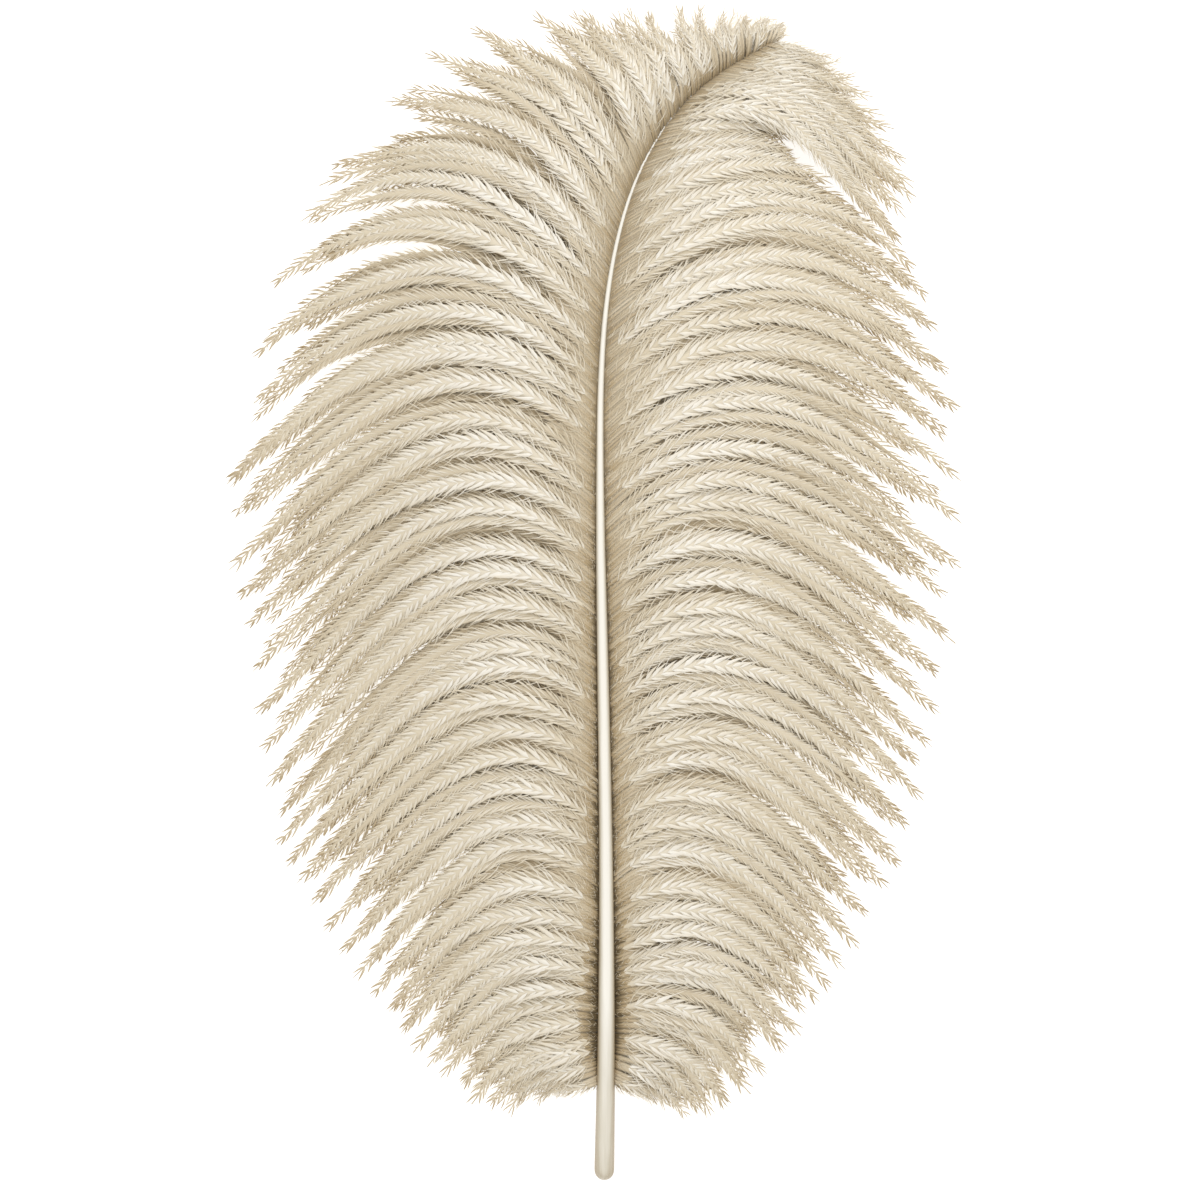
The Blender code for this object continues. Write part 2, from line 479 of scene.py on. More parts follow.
@dataclass
class Barbs:
    """A set of barbs of one vane, sampled evenly along each, with a frame at every sample.

    Attributes:
        form: the vane's form, which the barbs lie on.
        start: share of the shaft where each barb starts.
        tip: share whose outline point each barb runs to.
        reach: share of the way to the outline that each barb covers.
        lift: how far each barb stands up, over the crest and at its tip.
        lean: how far each barb is rolled about its own length, in radians.
        tone: each barb's tone, from brown at 0 to cream at 1; on the vanes' layers it holds the
            painted shade of the lower layers and the painted light on the tops of the locks.
        wander: each barb's sway in one, two and five half waves, and the phase of the last.
        sink: how far the barbs dip at the shaft.
        sink_span: the length over which that dip fades.
        shade: how strongly the tones along a rod count; on the barb bases, how deep the painted
            shade by the shaft is.
        drop: how far the whole set lies below the form.
        samples: how many samples each barb has.
        out: the samples' shares of each barb's own length.
        shares: the samples' shares of the full length there.
        points: the samples' places.
        along: the direction at each sample.
        across: the level direction across each sample.
        up: the direction out of the vane at each sample.
        run: the length of barb before each sample.
    """

    form: VaneForm
    start: Array
    tip: Array
    reach: Array
    lift: Array
    lean: Array
    tone: Array
    wander: Array
    sink: Array | float = 0.0
    sink_span: float = 1.0
    shade: Array | float = 1.0
    drop: float = 0.0
    samples: int = 72
    out: Array = field(init=False)
    shares: Array = field(init=False)
    points: Array = field(init=False)
    along: Array = field(init=False)
    across: Array = field(init=False)
    up: Array = field(init=False)
    run: Array = field(init=False)

    def __post_init__(self) -> None:
        """Lay the barbs over the vane's form and work out their frames."""
        self.out = np.linspace(0.0, 1.0, self.samples)
        plan = self.form.plan(self.start, self.tip, self.out)
        height = self.form.top(self.start, self.out)
        self.points = np.concatenate((plan, height[..., None]), -1)
        self.stretch()
        self.frames()
        self.shift()
        self.frames()

    def stretch(self) -> None:
        """Cut each barb to its own reach, as a share of the vane's full length there."""
        shares = self.out[None, :] * self.reach[:, None]
        grid = np.clip(shares, 0, 1) * (self.samples - 1)
        low = np.minimum(grid.astype(int), self.samples - 2)
        part = (grid - low)[..., None]
        rows = np.arange(len(self.start))[:, None]
        self.points = self.points[rows, low] * (1 - part) + self.points[rows, low + 1] * part
        self.shares = shares

    def frames(self) -> None:
        """Direction, side and upward vectors at every sample."""
        self.along = unit(np.gradient(self.points, axis=1))
        flat = np.stack((-self.along[..., 1], self.along[..., 0], 0 * self.along[..., 0]), -1)
        level = unit(flat)
        upright = unit(np.cross(self.along, level))
        upright *= np.sign(upright[..., 2:3])
        level = np.cross(upright, self.along)
        lean = self.lean[:, None, None] * np.sin(pi * np.clip(self.out, 0, 1))[None, :, None] ** 0.5
        self.across = level * np.cos(lean) - upright * np.sin(lean)
        self.up = upright * np.cos(lean) + level * np.sin(lean)
        steps = np.linalg.norm(np.diff(self.points, axis=1), axis=-1)
        self.run = np.concatenate((np.zeros((len(steps), 1)), np.cumsum(steps, axis=1)), 1)

    def shift(self) -> None:
        """Raise the barbs by their lift over the crest, and let each wander a little sideways."""
        swell = SWELL.at(self.shares)
        up = self.lift[:, :1] * swell * self.grown()[:, None]
        up = up + self.lift[:, 1:2] * np.sin(pi * self.shares / 2) ** 2
        depth = np.broadcast_to(self.sink, self.start.shape)[:, None]
        self.points[..., 2] += up - self.drop - depth * np.exp(-((self.run / self.sink_span) ** 2))
        sway = self.wander[:, :1] * np.sin(pi * self.shares)
        sway = sway + self.wander[:, 1:2] * np.sin(2 * pi * self.shares)
        sway = sway + self.wander[:, 2:3] * np.sin(5 * pi * self.shares + self.wander[:, 3:4])
        flat = self.across.copy()
        flat[..., 2] = 0
        self.points += flat * sway[..., None]

    def grown(self) -> Array:
        """How large each barb's branches are, as a share of the largest."""
        return np.clip(self.run[:, -1] / SHORT_BARB, SMALLEST, 1.0) * FINER.at(self.start)

    def read(self, values: Array, which: Array, place: Array) -> Array:
        """Read sampled values between samples.

        Args:
            values: by barb and sample, with a last axis.
            which: the barb of each reading.
            place: the share along that barb of each reading.

        Returns:
            One row for each reading.
        """
        grid = np.clip(place, 0, 1) * (self.samples - 1)
        low = np.minimum(grid.astype(int), self.samples - 2)
        part = grid - low
        if values.ndim == 3:
            part = part[..., None]
        return values[which, low] * (1 - part) + values[which, low + 1] * part

    def colour(self, which: Array, share: Array) -> Array:
        """Read the barbs' tones, whose painted shade and light give way towards the tips to the one
        tone that all tips share.

        Args:
            which: the barb of each reading.
            share: the share along that barb of each reading.

        Returns:
            The tone of each reading.
        """
        alike = ALIKE.at(share * self.reach[which])
        return self.tone[which] * (1 - alike) + TIP_TONE * alike


@dataclass
class Rod:
    """A rod swept along every barb: its stem, or the dense down that hides the stem.

    Attributes:
        template: the rod's shape.
        width: its width across the barb.
        height: its thickness.
        drop: how far its top lies below the barb's line.
        tone: how much paler it is along its length.
        shrink: how strongly it gets smaller on small barbs.
    """

    template: Template
    width: Profile
    height: Profile
    drop: float
    tone: Profile
    shrink: float = 1.0

    def cloud(self, barbs: Barbs) -> FibreCloud:
        """Sweep the template along every barb.

        Args:
            barbs: the barbs to follow.

        Returns:
            One rod for each barb.
        """
        count = len(barbs.start)
        which = np.repeat(np.arange(count), len(self.template.share))
        share = np.tile(self.template.share, count)
        angle = np.tile(self.template.angle, count)
        small = barbs.grown()[which] ** self.shrink
        size = small * np.tile(~self.template.is_end, count)
        centre = barbs.read(barbs.points, which, share)
        across = barbs.read(barbs.across, which, share)
        up = barbs.read(barbs.up, which, share)
        side = (self.width.at(share) / 2 * size * np.cos(angle))[:, None] * across
        high = self.height.at(share) / 2 * size
        rise = (high * np.sin(angle) - high - self.drop)[:, None] * up
        corners = (centre + side + rise).reshape(count, -1, 3)
        shade = np.broadcast_to(barbs.shade, count)[which]
        tone = barbs.colour(which, share) + shade * self.tone.at(share)
        return FibreCloud(self.template, corners, tone.reshape(count, -1))


@dataclass
class Barbules:
    """The two rows of fine side branches along each barb.

    Each branch starts a little to the side of the stem, so that a pair makes a blunt chevron
    whose point faces the shaft.

    Attributes:
        template: the shape of a barbule.
        pitch: the step from one barbule to the next, along the barb.
        length: how long they are.
        width: how wide they are at their middle.
        angle: how far they turn out from the barb.
        inset: how far from the stem's middle they start, in widths.
        height: their thickness, in widths.
        droop: how far they bend down at their ends, in lengths.
        tone: how much paler they are than the barb.
        fade: how much paler they are at their root than at their end, a painted highlight where
            each chevron comes to a point.
        first: the length of barb before the first one.
        latest: the most that this length may be, as a share of the barb.
        bare: the length of barb after the last one.
        most_bare: the most that this length may be, as a share of the barb.
        uneven: how unevenly they are spaced, in steps.
        first_range: how much the first one's place varies.
        length_range: how much their length varies.
        spread_range: how much their angle varies.
        droop_range: how much their bend varies.
        width_range: how much their width varies.
        tone_spread: how much their tone varies.
        opening: how much of their angle they have at their root, and how much less at the end.
        taper: their width along their length.
    """

    template: Template
    pitch: Profile
    length: Profile
    width: Profile
    angle: Profile
    inset: float = 0.10
    height: float = 0.24
    droop: float = 0.10
    tone: float = 0.0
    fade: float = 0.30
    first: float = 12.0
    latest: float = 0.14
    bare: float = 4.5
    most_bare: float = 0.06
    uneven: float = 0.12
    first_range: tuple[float, float] = (0.45, 1.15)
    length_range: tuple[float, float] = (0.82, 1.15)
    spread_range: tuple[float, float] = (0.7, 1.3)
    droop_range: tuple[float, float] = (0.5, 1.6)
    width_range: tuple[float, float] = (0.8, 1.2)
    tone_spread: float = 0.06
    opening: tuple[float, float] = (1.15, 0.3)
    taper: Profile = Profile((0.0, 0.12, 0.3, 0.7, 1.0), (0.5, 0.95, 1.0, 0.62, 0.0))

    def roots(self, barbs: Barbs, chance: np.random.Generator) -> tuple[Array, Array, Array]:
        """Spread the barbules' roots along both sides of every barb.

        Args:
            barbs: the barbs that carry them.
            chance: the source of every uneven step.

        Returns:
            The barb, the share along it and the side of each root.
        """
        which, share, side = [], [], []
        pitch = self.pitch.at(barbs.out)
        grown = barbs.grown()
        for index, run in enumerate(barbs.run):
            steps = np.diff(run) / ((pitch[1:] + pitch[:-1]) / 2 * sqrt(grown[index]))
            places = np.concatenate(([0.0], np.cumsum(steps)))
            bald = min(self.first, self.latest * run[-1]) * chance.uniform(*self.first_range)
            low = np.interp(bald, run, places)
            high = np.interp(run[-1] - min(self.bare, self.most_bare * run[-1]), run, places)
            phase = chance.uniform(0, 1)
            for way in (-1.0, 1.0):
                count = max(int(high - low), 1)
                spots = low + np.arange(count) + phase + chance.normal(0, self.uneven, count)
                share.append(np.interp(spots, places, barbs.out))
                which.append(np.full(count, index))
                side.append(np.full(count, way))
        return np.concatenate(which), np.concatenate(share), np.concatenate(side)

    def cloud(self, barbs: Barbs, chance: np.random.Generator) -> FibreCloud:
        """Grow the barbules.

        Args:
            barbs: the barbs that carry them.
            chance: the source of what varies.

        Returns:
            One fibre for each barbule.
        """
        which, share, way = self.roots(barbs, chance)
        count = len(which)
        root = barbs.read(barbs.points, which, share)
        along = unit(barbs.read(barbs.along, which, share))
        across = unit(barbs.read(barbs.across, which, share)) * way[:, None]
        up = unit(barbs.read(barbs.up, which, share))
        small = barbs.grown()[which]
        length = self.length.at(share) * np.sqrt(small) * chance.uniform(*self.length_range, count)
        spread = np.radians(self.angle.at(share)) * chance.uniform(*self.spread_range, count)
        droop = self.droop * chance.uniform(*self.droop_range, count)
        inset = self.inset * self.width.at(share) * small
        u = self.template.share[None, :]
        turn = spread[:, None] * (self.opening[0] - self.opening[1] * u)
        ahead = length[:, None] * u * np.cos(turn)
        aside = length[:, None] * u * np.sin(turn) + inset[:, None] * np.minimum(u * 8, 1)
        fall = droop[:, None] * length[:, None] * u**1.6
        centre = root[:, None] + ahead[..., None] * along[:, None]
        centre = centre + aside[..., None] * across[:, None]
        centre = centre - fall[..., None] * up[:, None]
        thick = self.taper.at(u) * ~self.template.is_end[None, :]
        flat = across[:, None] * np.cos(turn)[..., None] - along[:, None] * np.sin(turn)[..., None]
        wide = self.width.at(share)[:, None] * small[:, None] / 2
        wide = wide * chance.uniform(*self.width_range, (count, 1))
        high = wide * self.height * thick * np.sin(self.template.angle)[None, :]
        wide = wide * thick * np.cos(self.template.angle)[None, :]
        corners = centre + wide[..., None] * flat + high[..., None] * up[:, None]
        own = barbs.colour(which, share) + self.tone + TONE_ALONG.at(share)
        own = own + chance.normal(0, self.tone_spread, count)
        # Painted highlight: each barbule is paler at its root, where the chevron comes to a point.
        tone = own[:, None] + self.fade * (0.5 - u)
        return FibreCloud(self.template, corners, tone)


def add_node(
    tree: bpy.types.NodeTree, kind: str, settings: dict[str, object], inputs: dict[str, object]
) -> bpy.types.Node:
    """Add a node with its settings and inputs.

    Args:
        tree: the node tree.
        kind: the node's type name.
        settings: properties to set on it.
        inputs: by socket name, a value or the output socket to link.

    Returns:
        The new node.
    """
    node = tree.nodes.new(kind)
    for key, value in settings.items():
        setattr(node, key, value)
    for key, value in inputs.items():
        if isinstance(value, bpy.types.NodeSocket):
            tree.links.new(value, node.inputs[key])
        else:
            node.inputs[key].default_value = value
    return node


@dataclass(frozen=True)
class DownFinish:
    """Barb keratin, undyed and as it grew.

    Soft fibres a tenth of a millimetre thick scatter the light, so the vane is matt. Its tone runs
    from tan to cream, with painted light where it faces the lamp and painted shade where the fibres
    stand close. It has no shine of its own.

    Attributes:
        name: the material's name.
        stops: by place between brown and cream, the colour there; the darkest brown serves the
            painted shade by the shaft.
        shift: the factor and the sum that fit a tone, which runs from -0.5 to 1, to the places.
        roughness: how matt a fibre is.
        ior: keratin's refractive index.
        specular: how much of a bare fibre's shine the down lets through.
        sheen: how much the down brightens at its edges.
    """

    name: str = "barb_keratin_down"
    stops: tuple[tuple[float, str], ...] = (
        (0.0, "66573c"),
        (1 / 3, "b6a382"),
        (0.63, "ded4bf"),
        (1.0, "f3f0e9"),
    )
    shift: tuple[float, float] = (2 / 3, 1 / 3)
    roughness: float = 0.62
    ior: float = 1.54
    specular: float = 0.25
    sheen: float = 0.15

    def material(self) -> bpy.types.Material:
        """Build the material: the tone attribute picks a colour between brown and cream.

        Returns:
            The finished material.
        """
        material = bpy.data.materials.new(self.name)
        material.use_nodes = True
        tree = material.node_tree
        shader = tree.nodes["Principled BSDF"]
        shader.inputs["Roughness"].default_value = self.roughness
        shader.inputs["IOR"].default_value = self.ior
        shader.inputs["Specular IOR Level"].default_value = self.specular
        shader.inputs["Sheen Weight"].default_value = self.sheen
        tone = add_node(tree, "ShaderNodeAttribute", {"attribute_name": "tone"}, {})
        shifted = add_node(
            tree,
            "ShaderNodeMath",
            {"operation": "MULTIPLY_ADD"},
            {0: tone.outputs["Fac"], 1: self.shift[0], 2: self.shift[1]},
        )
        ramp = add_node(tree, "ShaderNodeValToRGB", {}, {"Fac": shifted.outputs[0]})
        elements = ramp.color_ramp.elements
        elements[0].color = linear(self.stops[0][1])
        elements[1].color = linear(self.stops[-1][1])
        for place_at, colour in self.stops[1:-1]:
            elements.new(place_at).color = linear(colour)
        tree.links.new(ramp.outputs["Color"], shader.inputs["Base Color"])
        return material


@dataclass(frozen=True)
class HornFinish:
    """Shaft keratin: solid horn, scraped clean and lightly polished by handling.

    It is ivory and glossy, with a faint grain along it. Its tone is darker at its sides and at the
    cut end, as painted shade, and palest along its top, as a painted highlight.

    Attributes:
        name: the material's name.
        stops: by tone, the colour of the horn, from painted shade at its sides to a painted
            highlight along its top.
        roughness: how matt the horn is.
        ior: keratin's refractive index.
        coat: how much polish lies over it, and how matt that is.
        grain: streaks to a metre along each axis. One is 1.1 mm across and 40 mm long: the real
            grain is finer than can show, so it is drawn coarser.
        grain_detail: how ragged the streaks are.
        grain_tone: the factor and the sum that turn the streaks into a change of tone.
    """

    name: str = "shaft_keratin_horn"
    stops: tuple[tuple[float, str], ...] = ((0.0, "8f7850"), (0.45, "d2ccbd"), (0.95, "f6f4ee"))
    roughness: float = 0.32
    ior: float = 1.54
    coat: tuple[float, float] = (0.2, 0.2)
    grain: tuple[float, float, float] = (900.0, 25.0, 900.0)
    grain_detail: float = 3.0
    grain_tone: tuple[float, float] = (0.30, -0.15)

    def material(self) -> bpy.types.Material:
        """Build the material: the tone attribute, with its painted shade and highlight, and the
        grain pick a colour of horn.

        Returns:
            The finished material.
        """
        material = bpy.data.materials.new(self.name)
        material.use_nodes = True
        tree = material.node_tree
        shader = tree.nodes["Principled BSDF"]
        shader.inputs["Roughness"].default_value = self.roughness
        shader.inputs["IOR"].default_value = self.ior
        shader.inputs["Coat Weight"].default_value = self.coat[0]
        shader.inputs["Coat Roughness"].default_value = self.coat[1]
        place_at = add_node(tree, "ShaderNodeTexCoord", {}, {})
        scaled = add_node(
            tree,
            "ShaderNodeMapping",
            {},
            {"Vector": place_at.outputs["Object"], "Scale": self.grain},
        )
        grain = add_node(
            tree,
            "ShaderNodeTexNoise",
            {},
            {"Vector": scaled.outputs["Vector"], "Scale": 1.0, "Detail": self.grain_detail},
        )
        tone = add_node(tree, "ShaderNodeAttribute", {"attribute_name": "tone"}, {})
        streaks = add_node(
            tree,
            "ShaderNodeMath",
            {"operation": "MULTIPLY_ADD"},
            {0: grain.outputs["Fac"], 1: self.grain_tone[0], 2: self.grain_tone[1]},
        )
        mixed = add_node(
            tree,
            "ShaderNodeMath",
            {"operation": "ADD"},
            {0: tone.outputs["Fac"], 1: streaks.outputs[0]},
        )
        ramp = add_node(tree, "ShaderNodeValToRGB", {}, {"Fac": mixed.outputs[0]})
        elements = ramp.color_ramp.elements
        elements[0].color = linear(self.stops[0][1])
        elements[1].position = self.stops[-1][0]
        elements[1].color = linear(self.stops[-1][1])
        for share, colour in self.stops[1:-1]:
            elements.new(share).color = linear(colour)
        tree.links.new(ramp.outputs["Color"], shader.inputs["Base Color"])
        return material


@dataclass(frozen=True)
class PaperFinish:
    """Matt white paper, which glows enough to stay white between the fibres.

    Attributes:
        name: the material's name.
        grey: how much light it throws back.
        roughness: how matt it is.
        glow: how much light it gives off.
    """

    name: str = "pale_paper"
    grey: float = 0.62
    roughness: float = 0.9
    glow: float = 0.75

    def material(self) -> bpy.types.Material:
        """Build the material.

        Returns:
            The finished material.
        """
        material = bpy.data.materials.new(self.name)
        material.use_nodes = True
        shader = material.node_tree.nodes["Principled BSDF"]
        shader.inputs["Base Color"].default_value = (self.grey, self.grey, self.grey, 1.0)
        shader.inputs["Roughness"].default_value = self.roughness
        shader.inputs["Specular IOR Level"].default_value = 0.0
        shader.inputs["Emission Color"].default_value = (1.0, 1.0, 1.0, 1.0)
        shader.inputs["Emission Strength"].default_value = self.glow
        return material


@dataclass
class Shaft:
    """The quill and rachis: one rod, round above, with a shallow groove along its underside.

    Attributes:
        line: its middle line and radii.
        sides: how many sides it has round it.
        rings: how many rings of corners it has along it.
        crowd: how much closer the rings stand at the quill's end.
        end_round: how long the rounding of the quill's end is.
        smallest: the square of the smallest ring's share of the radius, at the very end.
        groove: the depth of the groove, in radii.
        groove_power: how narrow the groove is.
        groove_from: how far from the quill's end the groove starts.
        painted_round_shade: its tone round it, by height from the underside to the top: painted
            shade on its sides and a painted highlight along its top.
        quill_colour_and_end_shade: its tone along it, as a share of that: the quill is duller than
            the rachis, and darker still at its rounded end as painted shade.
    """

    line: ShaftLine
    sides: int = 32
    rings: int = 220
    crowd: float = 1.6
    end_round: float = 4.6
    smallest: float = 0.0004
    groove: float = 0.18
    groove_power: int = 6
    groove_from: float = 60.0
    painted_round_shade: Profile = Profile(
        (-1.0, 0.0, 0.40, 0.74, 0.92, 1.0), (0.0, 0.0, 0.20, 0.55, 0.90, 1.0)
    )
    quill_colour_and_end_shade: Profile = Profile((0.0, 0.012, 0.03, 0.08, 0.16), (0.25, 0.50, 0.62, 0.66, 1.0))

    def build(self) -> bpy.types.Mesh:
        """Draw a cylinder out along the shaft.

        Returns:
            The shaft's mesh, in metres.
        """
        shape = bmesh.new()
        bmesh.ops.create_cone(
            shape, cap_ends=True, segments=self.sides, radius1=1, radius2=1, depth=1
        )
        long = [edge for edge in shape.edges if edge.verts[0].co.z * edge.verts[1].co.z < 0]
        bmesh.ops.subdivide_edges(shape, edges=long, cuts=self.rings, use_grid_fill=True)
        tone = shape.verts.layers.float.new("tone")
        for vert in shape.verts:
            share = min(max(vert.co.z + 0.5, 0.0), 1.0) ** self.crowd
            # Painted shade and highlight: the tone is darkest on the sides and at the quill's
            # rounded end, and palest along the top.
            round_it = float(self.painted_round_shade.at(vert.co.y))
            vert[tone] = round_it * float(self.quill_colour_and_end_shade.at(share))
            vert.co = self.corner(share, vert.co.x, vert.co.y)
        bmesh.ops.recalc_face_normals(shape, faces=shape.faces[:])
        mesh = bpy.data.meshes.new("shaft_skin")
        shape.to_mesh(mesh)
        shape.free()
        mesh.shade_smooth()
        return mesh

    def corner(self, share: float, x: float, y: float) -> Vector:
        """A corner of the shaft's skin.

        Args:
            share: share of the shaft's length.
            x: the corner's place across a unit ring.
            y: its height in a unit ring.

        Returns:
            The corner, in metres.
        """
        centre, radius = self.line.at(np.array(share))
        along = Vector(self.line.along(np.array(share)))
        across = along.cross(Vector((0, 0, 1))).normalized()
        up = across.cross(along)
        distance = share * self.line.length
        blunt = 1.0
        if distance < self.end_round:
            blunt = sqrt(max(1 - (1 - distance / self.end_round) ** 2, self.smallest))
        notch = 1.0
        if distance > self.groove_from:
            notch -= self.groove * max(-y, 0.0) ** self.groove_power
        size = float(radius) * blunt * MM
        return Vector(centre) * MM + across * (x * size) + up * (y * size * notch)

    def dress(self, finish: HornFinish) -> bpy.types.Object:
        """Make the shaft's piece and report it.

        Args:
            finish: the horn's finish.

        Returns:
            The piece.
        """
        mesh = self.build()
        mesh.calc_loop_triangles()
        log.info("shaft_skin: %d triangles", len(mesh.loop_triangles))
        return place("shaft_skin", mesh, finish.material())


@dataclass(frozen=True)
class Layer:
    """One layer of a vane: which barbs of every lock it holds, and what grows on them.

    Attributes:
        word: the end of the layer's piece's name.
        offsets: where its barbs stand in a lock, in half widths of the lock.
        reach: the least and the most of the way to the outline that they cover.
        lift: how far they stand up at the crest, at most.
        tone: their tone: each layer down is darker, as painted shade under the tops of the locks.
        rows: the barbules on them.
        rods: their stem and down.
        salt: what sets this layer's random draws apart.
        drop: how far the whole layer lies below the vane's form.
    """

    word: str
    offsets: tuple[float, ...]
    reach: tuple[float, float]
    lift: float
    tone: float
    rows: tuple[Barbules, ...]
    rods: tuple[Rod, ...]
    salt: int
    drop: float = 0.0


@dataclass
class BarbBases:
    """The closely packed bases of all of a vane's barbs, which dip to the shaft.

    Attributes:
        form: the vane's form.
        seed: the source of what varies.
        nap: the short barbules on the bases.
        groove: how strongly the bases darken towards the shaft, as painted shade in the groove
            beside it.
        pitch: the step from one base to the next.
        uneven: how unevenly they are spaced, in steps.
        length: how long they are.
        length_range: how much their length varies.
        most: the most of a barb that its base may cover, by share of the shaft.
        lift: how far they stand up at the crest.
        sway: how far they sway in one, two and five half waves, and the spread of the phase.
        tone: their own tone, and how much it varies.
        sink: how far they dip at the shaft: the part by its radius, the sum, and the most.
        sink_span: the length over which the dip fades.
        full_radius: the radius of shaft beside which that painted shade is deepest.
        shade_range: how deep that painted shade is, at least and at most.
        tone_along: how much paler they get away from the shaft: painted shade, darkest at their
            roots beside it.
    """

    form: VaneForm
    seed: int
    nap: Barbules
    groove: float
    pitch: float = 1.2
    uneven: float = 0.2
    length: float = 26.0
    length_range: tuple[float, float] = (0.7, 1.3)
    most: Profile = Profile((0.09, 0.13, 0.20), (0.24, 0.40, 0.62))
    lift: float = 0.8
    sway: tuple[float, ...] = (0.5, 0.3, 0.1, 3.0)
    tone: tuple[float, float] = (0.27, 0.05)
    sink: tuple[float, float, float] = (1.2, 0.8, 2.8)
    sink_span: float = 3.0
    full_radius: float = 2.6
    shade_range: tuple[float, float] = (0.4, 1.15)
    tone_along: Profile = Profile(
        (0.0, 0.12, 0.17, 0.32, 0.6, 1.0), (-0.95, -0.90, -0.50, -0.12, 0.02, 0.08)
    )

    def lay(self, chance: np.random.Generator) -> Barbs:
        """Lay the bases side by side along the shaft.

        Args:
            chance: the source of what varies.

        Returns:
            The bases, as short barbs.
        """
        shaft = self.form.shaft.length
        low, high = self.form.first, self.form.last
        count = int((high - low) * shaft / self.pitch)
        steps = np.arange(count) + chance.normal(0, self.uneven, count)
        start = np.clip(low + steps * self.pitch / shaft, low, high)
        none = np.zeros(count)
        whole = Barbs(
            form=self.form,
            start=start,
            tip=start,
            reach=np.ones(count),
            lift=np.zeros((count, 2)),
            lean=none,
            tone=none,
            wander=np.zeros((count, 4)),
        )
        length = self.length * chance.uniform(*self.length_range, count)
        _, radius = self.form.shaft.at(start)
        factor, added, deepest = self.sink
        return Barbs(
            form=self.form,
            start=start,
            tip=start,
            reach=np.minimum(length / whole.run[:, -1], self.most.at(start)),
            lift=np.stack((np.full(count, self.lift), none), -1),
            lean=none,
            wander=chance.normal(0, 1, (count, 4)) * np.array(self.sway),
            tone=chance.normal(*self.tone, count),
            sink=np.minimum(factor * radius + added, deepest),
            sink_span=self.sink_span,
            # Painted shade in the groove: deeper beside a thicker shaft.
            shade=np.clip(radius / self.full_radius, *self.shade_range) * self.groove,
        )

    def clouds(self) -> list[FibreCloud]:
        """Make the bases' fibres.

        Returns:
            Flat tapering rods, side by side, the felt that closes the gaps below them, and the
            nap on them.
        """
        chance = np.random.default_rng(self.seed)
        laid = self.lay(chance)
        # Both rods take the bases' painted shade, darkest by the shaft.
        flat = Rod(
            template=Template(10),
            width=Profile((0.0, 0.8, 1.0), (1.9, 1.6, 0.6)),
            height=even_run(0.52, 0.42),
            drop=0.0,
            tone=self.tone_along,
        )
        felt = Rod(
            template=Template(8, 4),
            width=even_run(5.0, 4.0),
            height=even_run(0.7, 0.6),
            drop=0.12,
            tone=self.tone_along,
        )
        return [flat.cloud(laid), felt.cloud(laid), self.nap.cloud(laid, chance)]


